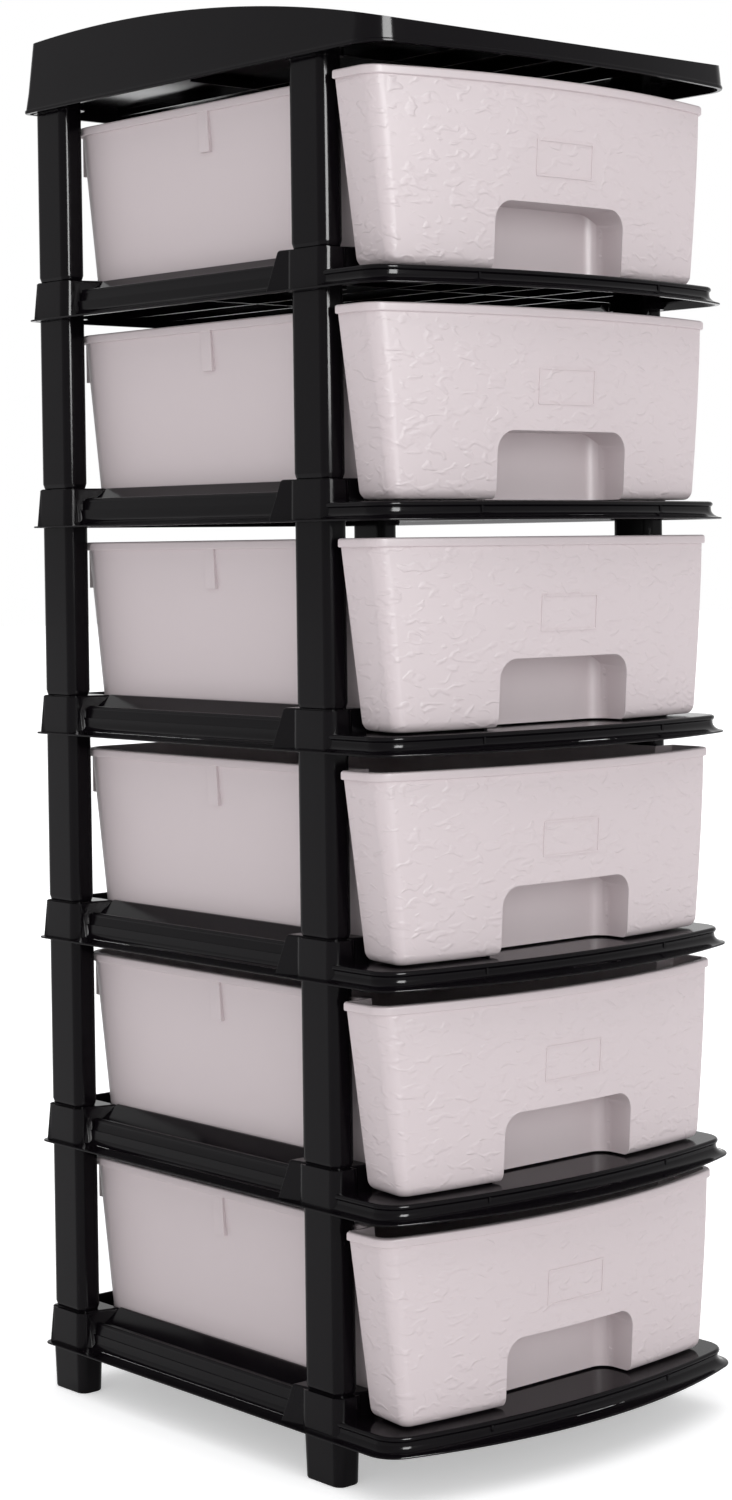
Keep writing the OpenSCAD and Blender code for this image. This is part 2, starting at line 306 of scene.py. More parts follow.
def clean() -> None:
    """Merges doubled points and flat faces of the piece in edit mode."""
    bpy.ops.mesh.select_all(action="SELECT")
    bpy.ops.mesh.remove_doubles(threshold=DOUBLED * MM)
    bpy.ops.mesh.dissolve_limited(angle_limit=math.radians(FLAT))


def place_cap(mesh: bmesh.types.BMesh, lower: Sequence[Point3], upper: Sequence[Point3]) -> None:
    """Moves the face that was just extruded from one ring of points to the next."""
    cap = next(face for face in mesh.faces if face.select)
    corners = [loop.vert for loop in cap.loops]
    origin = Vector(lower[0]) * MM
    start = min(range(len(corners)), key=lambda i: (corners[i].co - origin).length)
    second = Vector(lower[1]) * MM
    count = len(corners)
    after, before = corners[(start + 1) % count], corners[start - 1]
    step = 1 if (after.co - second).length <= (before.co - second).length else -1
    for i, point in enumerate(upper):
        corners[(start + step * i) % count].co = Vector(point) * MM


def loft(name: str, rings: Sequence[Sequence[Point3]]) -> Piece:
    """Draws a closed solid up through rings of points.

    Args:
        name: The solid's name.
        rings: The rings from first to last, each with the same number of points.

    Returns:
        The solid.
    """
    take_up()
    bpy.ops.mesh.primitive_circle_add(vertices=len(rings[0]), radius=1.0, fill_type="NGON")
    piece = bpy.context.object
    piece.name = piece.data.name = name
    for vertex, point in zip(piece.data.vertices, rings[0]):
        vertex.co = Vector(point) * MM
    with editing(piece) as mesh:
        bpy.ops.mesh.select_all(action="SELECT")
        for lower, upper in zip(rings, rings[1:]):
            bpy.ops.mesh.extrude_region_move(TRANSFORM_OT_translate={"value": (0, 0, 0)})
            place_cap(mesh, lower, upper)
        face_outwards()
    return piece


def drawn_out(name: str, profile: Sequence[Point2], axis: Axis, start: float, end: float) -> Piece:
    """Draws a flat profile out along an axis.

    Args:
        name: The solid's name.
        profile: Points in the plane across the axis: Y and Z, X and Z, or X and Y.
        axis: The axis.
        start: Where it begins.
        end: Where it ends.

    Returns:
        The solid.
    """
    def at(value: float) -> list[Point3]:
        """The profile at one place along the axis."""
        return [((value, a, b), (a, value, b), (a, b, value))[axis.value] for a, b in profile]

    return loft(name, [at(start), at(end)])


def block(name: str, low: Point3, high: Point3) -> Piece:
    """A plain block between two corners, used as stock or as a cutter."""
    profile = [(low[0], low[1]), (high[0], low[1]), (high[0], high[1]), (low[0], high[1])]
    return drawn_out(name, profile, Axis.Z, low[2], high[2])


def mirrored(piece: Piece) -> Piece:
    """A copy of a solid, mirrored to the other side of the middle plane."""
    take_up(piece)
    bpy.ops.object.duplicate()
    twin = bpy.context.object
    bpy.ops.transform.resize(value=(-1, 1, 1), center_override=(0, 0, 0))
    bpy.ops.object.transform_apply(location=True, rotation=True, scale=True)
    with editing(twin):
        face_outwards()
    return twin


def gathered(pieces: Sequence[Piece]) -> Piece:
    """Joins solids that don't touch into one object."""
    take_up(*pieces)
    bpy.ops.object.join()
    return bpy.context.object


def work(piece: Piece, how: Joinery, *tools: Piece) -> None:
    """Adds other solids to a piece, cuts them out of it, or keeps what they share.

    Args:
        piece: The piece that is worked.
        how: What is done.
        tools: The other solids, which are used up.
    """
    for tool in tools:
        step = piece.modifiers.new(how.value, "BOOLEAN")
        step.operation = how.value
        step.object = tool
        step.solver = "EXACT"
        take_up(piece)
        bpy.ops.object.modifier_apply(modifier=step.name)
        spent = tool.data
        bpy.data.objects.remove(tool, do_unlink=True)
        bpy.data.meshes.remove(spent)


def soften(piece: Piece, width: float, segments: int = 2, angle: float = 38.0) -> None:
    """Rounds every edge sharper than an angle, and shades the rest smooth.

    Args:
        piece: The piece.
        width: The rounding's width in millimetres.
        segments: How many faces it gets.
        angle: The angle in degrees.
    """
    with editing(piece):
        clean()
    bevel = piece.modifiers.new("soft edges", "BEVEL")
    bevel.width = width * MM
    bevel.segments = segments
    bevel.limit_method = "ANGLE"
    bevel.angle_limit = math.radians(angle)
    bevel.miter_outer = "MITER_ARC"
    evened = piece.modifiers.new("even shading", "WEIGHTED_NORMAL")
    evened.keep_sharp = True
    take_up(piece)
    bpy.ops.object.modifier_apply(modifier=bevel.name)
    bpy.ops.object.shade_smooth_by_angle(angle=math.radians(SHADED_AS_ONE))
    bpy.ops.object.modifier_apply(modifier=evened.name)


def copied(piece: Piece, name: str, move: Point3) -> Piece:
    """A copy of a piece with a mesh of its own, moved by a distance in millimetres."""
    take_up(piece)
    bpy.ops.object.duplicate()
    twin = bpy.context.object
    twin.name = twin.data.name = name
    bpy.ops.transform.translate(value=tuple(Vector(move) * MM))
    bpy.ops.object.transform_apply(location=True, rotation=True, scale=True)
    return twin


# ---- finishes ----


class Nodes:
    """A short hand for wiring the nodes of one tree."""

    def __init__(self, tree: bpy.types.NodeTree) -> None:
        """Keeps the tree that is wired."""
        self.tree = tree

    def feed(self, node: bpy.types.Node, inputs: dict[str | int, object]) -> None:
        """Sets a node's inputs to values, or links them to other nodes' outputs."""
        for name, value in inputs.items():
            if isinstance(value, Socket):
                self.tree.links.new(value, node.inputs[name])
            else:
                node.inputs[name].default_value = value

    def add(
        self, kind: str, inputs: dict[str | int, object] | None = None, **settings: object
    ) -> bpy.types.Node:
        """Adds a node, sets its own properties and feeds its inputs."""
        node = self.tree.nodes.new(kind)
        for name, value in settings.items():
            setattr(node, name, value)
        self.feed(node, inputs or {})
        return node

    def math(self, operation: str, *terms: Socket | float) -> Socket:
        """A Math node between sockets or numbers; gives its output."""
        return self.add("ShaderNodeMath", dict(enumerate(terms)), operation=operation).outputs[0]


class Group(Nodes):
    """A node group that takes a place and some numbers, and gives numbers."""

    def __init__(self, name: str, takes: Sequence[str], gives: Sequence[str]) -> None:
        """Makes the group with its named sockets."""
        super().__init__(bpy.data.node_groups.new(name, "ShaderNodeTree"))
        sockets = [("Place", "INPUT", "NodeSocketVector")]
        sockets += [(label, "INPUT", "NodeSocketFloat") for label in takes]
        sockets += [(label, "OUTPUT", "NodeSocketFloat") for label in gives]
        for label, way, kind in sockets:
            self.tree.interface.new_socket(label, in_out=way, socket_type=kind)
        self.start = self.add("NodeGroupInput")
        self.end = self.add("NodeGroupOutput")

    def taken(self, label: str) -> Socket:
        """What the group takes under a name, inside it."""
        return self.start.outputs[label]


def moulded_skin() -> bpy.types.NodeTree:
    """The faint unevenness of a moulded wall, shared by both plastics.

    Returns:
        A node group that takes a place, a mottling scale and a ripple scale, and gives a
        mottling around 0.5 and a ripple height.
    """
    details = {"Mottle": 3.0, "Ripple": 2.0}
    group = Group("moulded_skin", [f"{label} scale" for label in details], list(details))
    for label, detail in details.items():
        noise = group.add("ShaderNodeTexNoise", {
            "Vector": group.taken("Place"),
            "Scale": group.taken(f"{label} scale"),
            "Detail": detail,
        })
        group.feed(group.end, {label: noise.outputs["Fac"]})
    return group.tree


def pebbled_grain() -> bpy.types.NodeTree:
    """The irregular raised pebbles that are moulded into the drawers' fronts.

    Returns:
        A node group that takes a place, the pebbles' width and height in millimetres, how
        much of the surface they leave bare and how soft their edge is, and gives their
        relief from 0 to 1.
    """
    group = Group("pebbled_grain", ("Width", "Height", "Bare", "Softness"), ("Relief",))
    across = group.math("DIVIDE", 1 / MM, group.taken("Width"))
    upward = group.math("DIVIDE", 1 / MM, group.taken("Height"))
    spread = group.add("ShaderNodeCombineXYZ", {"X": across, "Y": across, "Z": upward})
    stretched = group.add(
        "ShaderNodeVectorMath", {0: group.taken("Place"), 1: spread.outputs[0]},
        operation="MULTIPLY")
    noise = group.add("ShaderNodeTexNoise", {
        "Vector": stretched.outputs[0], "Scale": 1.0, "Detail": 0.6, "Distortion": 0.8,
    })
    bare = group.taken("Bare")
    step = group.add("ShaderNodeMapRange", {
        "Value": noise.outputs["Fac"],
        "From Min": bare,
        "From Max": group.math("ADD", bare, group.taken("Softness")),
    }, interpolation_type="SMOOTHSTEP")
    group.feed(group.end, {"Relief": step.outputs["Result"]})
    return group.tree


@dataclass(frozen=True)
class Plastic:
    """A moulded plastic: its colour, its gloss and the relief of its surface."""

    name: str
    colour: Point3
    roughness: float
    specular: float
    mottling: float
    ripple_mm: float
    pebble_mm: float = 0.0
    pebble_width: float = 12.0
    pebble_height: float = 6.5
    pebble_bare: float = 0.50
    pebble_softness: float = 0.26

    MOTTLE_SCALE = 14.0
    RIPPLE_SCALE = 42.0
    ROUGHNESS_SPREAD = 0.10

    def material(self) -> bpy.types.Material:
        """Builds the material."""
        material = bpy.data.materials.new(self.name)
        material.use_nodes = True
        nodes = Nodes(material.node_tree)
        place = nodes.add("ShaderNodeTexCoord").outputs["Object"]
        skin = nodes.add("ShaderNodeGroup", {
            "Place": place,
            "Mottle scale": self.MOTTLE_SCALE,
            "Ripple scale": self.RIPPLE_SCALE,
        }, node_tree=bpy.data.node_groups.get("moulded_skin") or moulded_skin())
        mottle = skin.outputs["Mottle"]
        relief = nodes.add("ShaderNodeBump", {
            "Distance": self.ripple_mm * MM, "Height": skin.outputs["Ripple"],
        })
        if self.pebble_mm > 0:
            relief = self._pebbles(nodes, place, relief)
        nodes.feed(material.node_tree.nodes["Principled BSDF"], {
            "Base Color": self._tint(nodes, mottle),
            "Specular IOR Level": self.specular,
            "Roughness": nodes.math("MULTIPLY_ADD", mottle, self.ROUGHNESS_SPREAD,
                                    self.roughness - self.ROUGHNESS_SPREAD / 2),
            "Normal": relief.outputs["Normal"],
        })
        return material

    def _tint(self, nodes: Nodes, mottle: Socket) -> Socket:
        """Mixes the base colour a little darker and lighter with the mottling."""
        low = tuple(c * (1 - self.mottling) for c in self.colour)
        high = tuple(min(c * (1 + self.mottling), 1.0) for c in self.colour)
        mix = nodes.add("ShaderNodeMix", {
            "Factor": mottle, "A": (*low, 1.0), "B": (*high, 1.0),
        }, data_type="RGBA")
        return mix.outputs["Result"]

    def _pebbles(self, nodes: Nodes, place: Socket, under: bpy.types.Node) -> bpy.types.Node:
        """Lays the pebbles over the ripple; gives the Bump node that holds both."""
        grain = nodes.add("ShaderNodeGroup", {
            "Place": place,
            "Width": self.pebble_width,
            "Height": self.pebble_height,
            "Bare": self.pebble_bare,
            "Softness": self.pebble_softness,
        }, node_tree=bpy.data.node_groups.get("pebbled_grain") or pebbled_grain())
        return nodes.add("ShaderNodeBump", {
            "Distance": self.pebble_mm * MM,
            "Height": grain.outputs["Relief"],
            "Normal": under.outputs["Normal"],
        })


FRAME_PLASTIC = Plastic(
    "frame_plastic", (0.0034, 0.0026, 0.0036),
    roughness=0.14, specular=0.075, mottling=0.10, ripple_mm=0.02)
DRAWER_PLASTIC = Plastic(
    "drawer_plastic", (0.68, 0.60, 0.615),
    roughness=0.42, specular=0.14, mottling=0.012, ripple_mm=0.04)
PEBBLED_PLASTIC = replace(
    DRAWER_PLASTIC, name="drawer_front_plastic", roughness=0.50, pebble_mm=0.42)


# ---- posts and feet ----


@dataclass
class Uprights:
    """The hollow posts and the short feet, all of one section."""

    width: float = 21.0
    depth: float = 40.0
    corner_r: float = 7.0
    wall: float = 2.0
    outer_face: float = 175.1
    rows: Point2 = (-113.6, 203.6)
    plug_z: float = 13.0
    plug_edge: Point2 = (0.8, 0.6)
    socket_top: float = 31.0
    end: float = 175.0
    bore: float = 60.0
    step: float = 2.0
    shoulder: float = 4.0
    shoulder_in: float = 1.0
    shoulder_edge: Point2 = (0.4, 0.3)
    foot_out: float = 1.4
    foot_taper: float = 1.0
    foot_edge: Point2 = (0.5, 0.4)
    pocket: float = 10.0
    post_soft: float = 0.5
    foot_soft: float = 0.4
    soft_angle: float = 50.0

    SOLE = ((0.0, 1.2), (0.35, 0.45), (1.3, 0.0))
    CORNER_STEPS = 8

    def section(self, z: float, inset: float, x: float = 0.0, y: float = 0.0) -> list[Point3]:
        """The uprights' section at a height, narrower by inset on each side."""
        w, d = self.width / 2 - inset, self.depth / 2 - inset
        r = self.corner_r - inset / 2
        return oblong((x - w, x + w), (y - d, y + d), z, r, self.CORNER_STEPS)

    def _moulded(self, name: str, profile: Sequence[Point2], bore: float, soft: float) -> Piece:
        """Makes an upright in the middle of the floor.

        Args:
            name: Its name.
            profile: Heights from the bottom up, each with the section's inset there.
            bore: How deep it is hollow from its top.
            soft: The width of its rounded edges.

        Returns:
            The upright.
        """
        piece = loft(name, [self.section(z, inset) for z, inset in profile])
        with editing(piece) as mesh:
            bpy.ops.mesh.select_all(action="DESELECT")
            max(mesh.faces, key=lambda face: face.calc_center_median().z).select_set(True)
            bpy.ops.mesh.inset(thickness=self.wall * MM, depth=0.0)
            bpy.ops.mesh.extrude_region_move(
                TRANSFORM_OT_translate={"value": (0.0, 0.0, -bore * MM)})
        soften(piece, soft, angle=self.soft_angle)
        return piece

    def post(self) -> Piece:
        """A post with its plug below and its shoulder above the socket."""
        z = self.socket_top
        plug_up, plug_in = self.plug_edge
        edge_up, edge_in = self.shoulder_edge
        return self._moulded("post", [
            (self.plug_z, self.step + plug_in),
            (self.plug_z + plug_up, self.step),
            (z, self.step),
            (z, self.shoulder_in + edge_in),
            (z + edge_up, self.shoulder_in),
            (z + self.shoulder, 0.0),
            (self.end, 0.0),
        ], self.bore, self.post_soft)

    def foot(self) -> Piece:
        """A foot that widens a little towards its top, with its peg above."""
        sole = self.foot_taper - self.foot_out
        edge_down, edge_in = self.foot_edge
        return self._moulded("foot", [
            *((z, sole + inset) for z, inset in self.SOLE),
            (FOOT_HEIGHT - edge_down, -self.foot_out),
            (FOOT_HEIGHT, edge_in - self.foot_out),
            (FOOT_HEIGHT, 0.0),
            (FOOT_HEIGHT + self.pocket, 0.0),
        ], FOOT_HEIGHT + self.pocket - WALL, self.foot_soft)

    def corners(self) -> dict[str, Point2]:
        """Where the four uprights of a tier stand, by the corner's name."""
        x = self.outer_face - self.width / 2
        front, rear = self.rows
        return {
            "front_left": (-x, front), "front_right": (x, front),
            "rear_left": (-x, rear), "rear_right": (x, rear),
        }


# ---- trays ----


@dataclass
class ShelfTray:
    """A moulded tray with its ledge, rails, gutters and corner sockets."""

    uprights: Uprights
    lip: Bowed = Bowed(182.5, 227.5, -227.5, 490, 25, 8)
    ledge: Bowed = Bowed(175.5, -101, -213, 700, 22)
    split: float = -101.0
    side: float = 167.0
    rear: float = 225.0
    lip_t: float = 1.5
    lip_step: float = 0.8
    flare: float = 7.5
    wall_r: float = 3.0
    bead_out: float = 1.2
    rail: float = 140.5
    rail_top: float = 31.0
    rail_t: float = 2.5
    rail_edge: Point2 = (0.9, 1.1)
    valley: Point2 = (157.0, 18.0)
    valley_r: float = 3.2
    bead: Point2 = (162.4, 20.7)
    bead_r: float = 2.3
    bead_meet: Point2 = (0.1, -0.2)
    front_socket: tuple[Point2, Point2] = ((-137.5, -70.0), (-137.5, -81.0))
    rear_socket: tuple[Point2, Point2] = ((167.0, 225.0), (175.0, 224.0))
    socket_face: Point2 = (180.0, 177.3)
    socket_r: float = 10.0
    socket_edge_r: float = 2.6
    socket_inner_r: float = 1.0
    socket_face_gap: float = 0.4
    tube_r: float = 8.0
    tube_z: float = 0.3
    rear_lean: float = 1.0
    runner_x: float = 70.0
    runner_y: Point2 = (-184.0, 200.0)
    runner_w: float = 3.0
    runner_h: float = 1.1
    rib_pitch: float = 46.0
    rib_t: float = 1.8
    rib_drop: float = 5.5
    rib_bite: float = 0.2
    rib_inset: float = 6.5
    ribs_aside: int = 2
    fit: float = 0.15
    soft: float = 0.45

    # The height of each ring and how far it is drawn in.
    LIP_EDGE = ((0.0, 0.55), (0.2, 0.16), (0.6, 0.0), (1.0, 0.03), (1.35, 0.25))
    BEAD = ((9.4, 1.2), (10.0, 0.62), (10.7, 0.18), (11.5, 0.0), (12.3, 0.16), (13.0, 0.62),
            (13.4, 1.25), (13.6, 2.1))
    # The depth of each ring below the socket's top and how far it is drawn in.
    SOCKET_EDGE = ((1.6, 0.0), (0.75, 0.25), (0.2, 0.8), (0.0, 1.6))
    # The first and last angle of the side rail's rolled bead, and its chords.
    ROLL = (165, -25, 10)

    def _flared(self, low: Outline, high: Outline) -> list[list[Point3]]:
        """Rings from the lip's edge up through the hollow curve to the upright wall."""
        rings = [ring(low.inset(inset), z) for z, inset in self.LIP_EDGE]
        foot = low.inset(self.lip_step)
        rise = self.flare - self.lip_t
        for sine, cosine in quarter_turn():
            rings.append(ring(foot.toward(high, sine), self.lip_t + rise * (1 - cosine)))
        return rings

    def _front_part(self) -> Piece:
        """The wide front with its lip, its hollow flare and the bead along the ledge."""
        lip = replace(self.lip, rear=self.split, back_r=0.0)
        rings = self._flared(lip, self.ledge.inset(self.bead_out))
        rings += [ring(self.ledge.inset(inset), z) for z, inset in self.BEAD]
        return loft("tray_front", rings)

    def _rear_part(self) -> Piece:
        """The narrower part behind the front sockets."""
        lip = Squared(self.lip.half_width, self.split - PAST, self.lip.rear, self.lip.back_r)
        wall = Squared(self.side, self.split - PAST, self.rear, self.wall_r)
        rings = self._flared(lip, wall)
        rings.append(ring(wall, DECK))
        return loft("tray_rear", rings)

    def _side_rail(self) -> Piece:
        """Rail, gutter and rolled bead along the right-hand side."""
        bead_x, bead_z = self.bead
        inner_r, outer_r = self.rail_edge
        slope_end = (bead_x - self.bead_r + self.bead_meet[0], bead_z + self.bead_meet[1], 0.0)
        profile = rounded([
            (self.rail, self.flare, 0.0), (self.rail, self.rail_top, inner_r),
            (self.rail + self.rail_t, self.rail_top, outer_r), (*self.valley, self.valley_r),
            slope_end,
        ])
        profile += arc(self.bead, self.bead_r, *self.ROLL) + [(self.side, self.flare)]
        start, end = self.front_socket[1][1] - PAST, self.rear_socket[1][0] + PAST
        return drawn_out("side_rail", profile, Axis.Y, start, end)

    def _socket(self, faces: tuple[Point2, Point2], inset: float = 0.0) -> Piece:
        """The outside of a right-hand socket, or its inside where inset is a wall."""
        top = self.rail_top - inset
        foot = self.lip_t if inset == 0 else -PAST
        r = self.socket_edge_r if inset == 0 else self.socket_inner_r
        (f0, r0), (f1, r1) = faces
        low, high = self.socket_face

        def level(z: float, edge: float = 0.0) -> list[Point3]:
            """The socket's section at a height, its edges drawn in by a little."""
            t = (z - self.lip_t) / (self.rail_top - self.lip_t)
            x = (self.rail + inset + edge, low + (high - low) * t - inset - edge)
            y = (f0 + (f1 - f0) * t + inset + edge, r0 + (r1 - r0) * t - inset - edge)
            front_r = self.socket_r - inset / 2 - edge / 2
            corners = [(x[0], y[0], r), (x[1], y[0], front_r), (x[1], y[1], r), (x[0], y[1], r)]
            return [(a, b, z) for a, b in rounded(corners, 6)]

        if inset > 0:
            return loft("socket_inside", [level(foot), level(top)])
        edges = [level(top - down, edge) for down, edge in self.SOCKET_EDGE]
        return loft("socket", [level(foot), *edges])

    def _tube(self, at: float, top: float) -> Piece:
        """The tube inside a right-hand socket that holds the posts."""
        post = self.uprights
        x0 = post.outer_face - post.width - WALL
        half = post.depth / 2 + WALL
        y = (at - half, at + half)
        outer = post.outer_face + WALL
        narrow = min(outer, self.socket_face[1] - self.socket_face_gap)
        return loft("tube", [oblong((x0, outer), y, self.tube_z, self.tube_r),
                             oblong((x0, narrow), y, top, self.tube_r)])

    def _rear_wall(self) -> Piece:
        """The low wall along the back of the deck."""
        y, half, r = self.rear, self.rail + WALL, self.rail_edge[0]
        leaned = y - self.rear_lean
        profile = rounded([(y - WALL, self.flare, 0.0), (y, self.flare, 0.0),
                           (leaned, self.rail_top, r), (leaned - WALL, self.rail_top, r)])
        return drawn_out("rear_wall", profile, Axis.X, -half, half)

    def _deck_hollows(self) -> list[Piece]:
        """What is scooped out from below the front part and the rear part."""
        roof = DECK - DECK_THICKNESS
        foot = self.flare - self.lip_t
        edge = self.lip_step + WALL
        split = self.split - 6
        lips = (replace(self.lip, rear=self.split, back_r=0.0),
                Squared(self.lip.half_width, split, self.lip.rear, self.lip.back_r))
        walls = (self.ledge.inset(self.bead_out + WALL),
                 Squared(self.side, split, self.rear, self.wall_r).inset(WALL))
        hollows = []
        for lip, wall in zip(lips, walls):
            mouth = lip.inset(edge)
            rings = [ring(mouth, -PAST), ring(mouth, 0.0), ring(wall, foot), ring(wall, roof)]
            hollows.append(loft("deck_inside", rings))
        return hollows

    def _hollows(self) -> list[Piece]:
        """All that is scooped out from below."""
        foot = self.flare - self.lip_t
        drop = 1.4 * WALL
        bead_z = self.bead[1] - 2 * WALL
        profile = [
            (self.rail + WALL, foot), (self.rail + WALL, self.rail_top - drop),
            (self.valley[0], self.valley[1] - drop), (self.bead[0] - WALL / 2, bead_z),
            (self.side - WALL - 1, bead_z), (self.side - WALL, foot),
        ]
        start = self.front_socket[1][1] - WALL - PAST
        gutter = drawn_out("gutter_inside", profile, Axis.Y,
                           start, self.rear_socket[1][0] + WALL + PAST)
        insides = [gutter, *(self._socket(faces, WALL)
                             for faces in (self.front_socket, self.rear_socket))]
        insides += [mirrored(piece) for piece in insides]
        return [*self._deck_hollows(), *insides]

    def ribs(self, front: float, rear: float) -> list[Piece]:
        """The ribs that stiffen a deck from below, front to back and across."""
        top = DECK - DECK_THICKNESS + self.rib_bite
        z = top - self.rib_bite - self.rib_drop
        half = self.rib_t / 2
        places = [i * self.rib_pitch for i in range(-self.ribs_aside, self.ribs_aside + 1)]
        lengthways = [block("rib", (x - half, front, z), (x + half, rear, top)) for x in places]
        reach = self.uprights.outer_face - self.uprights.width - BITE
        row = self.uprights.rows
        across = [block("rib", (-reach, y - half, z), (reach, y + half, top))
                  for y in (row[0], (row[0] + row[1]) / 2)]
        return [gathered(lengthways), gathered(across)]

    def pockets(self, with_plugs: bool) -> Piece:
        """The pockets for the posts' upper ends and, on a tray, for the plugs above."""
        post = self.uprights
        levels = [(-PAST, post.pocket, -self.fit)]
        if with_plugs:
            levels.append((post.plug_z, self.rail_top + 2 * PAST, post.step - self.fit))
        return gathered([
            loft("pocket", [post.section(z, gap, x, y) for z in (low, high)])
            for x, y in post.corners().values() for low, high, gap in levels
        ])

    def tubes(self, top: float) -> Piece:
        """The four tubes that hold the posts."""
        right = [self._tube(y, top) for y in self.uprights.rows]
        return gathered(right + [mirrored(piece) for piece in right])

    def build(self) -> Piece:
        """Moulds one tray with its lip's underside on the floor."""
        tray = self._front_part()
        rail = self._side_rail()
        sockets = [self._socket(self.front_socket), self._socket(self.rear_socket)]
        work(tray, Joinery.ADD, self._rear_part(), gathered([rail, mirrored(rail)]))
        work(tray, Joinery.ADD, gathered(sockets + [mirrored(socket) for socket in sockets]))
        work(tray, Joinery.ADD, self._rear_wall())
        work(tray, Joinery.CUT, *self._hollows())
        half, (front, rear) = self.runner_w / 2, self.runner_y
        runners = [block("runner", (x - half, front, DECK - BITE),
                         (x + half, rear, DECK + self.runner_h))
                   for x in (-self.runner_x, self.runner_x)]
        work(tray, Joinery.ADD, gathered(runners))
        work(tray, Joinery.ADD, *self.ribs(self.ledge.apex + self.rib_inset, self.rear - WALL / 2))
        work(tray, Joinery.ADD, self.tubes(self.rail_top - 1.0))
        work(tray, Joinery.CUT, self.pockets(True))
        soften(tray, self.soft)
        return tray


# ---- cover ----


@dataclass
class TopCover:
    """The cover with its arched sides, sunken deck and ribbed underside."""

    tray: ShelfTray
    height: float = 57.75
    arch_r: float = 1450.0
    arch_y: float = 140.0
    arch_reach: float = 260.0
    arch_half: float = 200.0
    arch_floor: float = -10.0
    overhang: float = 0.8
    wall_t: float = 3.0
    soft: float = 0.9
    levels: Point3 = (3.0, 16.0, 57.8)
    outlines: tuple[Bowed, Bowed, Bowed] = (
        Bowed(184.0, 226.7, -214.2, 1000, 24, 8),
        Bowed(182.5, 225.2, -212.4, 1030, 22, 8),
        Bowed(179.0, 222.2, -207.0, 1050, 20, 8),
    )

    LIP_EDGE = ((0.0, 0.6), (0.3, 0.2), (0.9, 0.0), (1.9, 0.0), (2.6, 0.25), (3.0, 0.8))
    ABOVE_LIP = (3.6, 4.6, 6.5, 10.0)
    ARCH_STEPS = 48

    def _outline(self, z: float) -> Bowed:
        """The cover's outline at a height above its lip."""
        low, middle, high = self.levels
        if z < middle:
            return self.outlines[0].toward(self.outlines[1], (z - low) / (middle - low))
        return self.outlines[1].toward(self.outlines[2], (z - middle) / (high - middle))

    def build(self) -> Piece:
        """Moulds the cover with its lip's underside on the floor."""
        _, middle, high = self.levels
        lip = self.outlines[0].inset(-self.overhang)
        rings = [ring(lip.inset(inset), z) for z, inset in self.LIP_EDGE]
        rings += [ring(self._outline(z), z) for z in (*self.ABOVE_LIP, middle, high + 2 * PAST)]
        cover = loft("cover", rings)
        work(cover, Joinery.KEEP, self._arch())
        sunken = self.outlines[2].inset(self.wall_t)
        well = loft("sunken", [ring(sunken, DECK), ring(sunken, high + 5 * PAST)])
        roof = DECK - DECK_THICKNESS
        mouth = self.outlines[0].inset(WALL)
        inner = self._outline(roof).inset(1.5 * WALL)
        inside = loft("inside", [ring(mouth, -PAST), ring(mouth, 0.0), ring(inner, roof)])
        work(cover, Joinery.CUT, well, inside)
        front = self.outlines[1].apex + self.tray.rib_inset
        ribs = self.tray.ribs(front, self.tray.rear - WALL / 2)
        work(cover, Joinery.ADD, *ribs, self.tray.tubes(DECK - BITE))
        work(cover, Joinery.CUT, self.tray.pockets(False))
        soften(cover, self.soft, 3)
        return cover

    def _arch(self) -> Piece:
        """Stock with the arched top that the cover keeps."""
        reach, floor = self.arch_reach, self.arch_floor
        start, end = (math.degrees(math.acos((y - self.arch_y) / self.arch_r))
                      for y in (reach, -reach))
        centre = (self.arch_y, self.height - self.arch_r)
        top = arc(centre, self.arch_r, start, end, self.ARCH_STEPS)
        profile = [(-reach, floor), (reach, floor), *top]
        return drawn_out("arch", profile, Axis.X, -self.arch_half, self.arch_half)


# ---- drawers ----


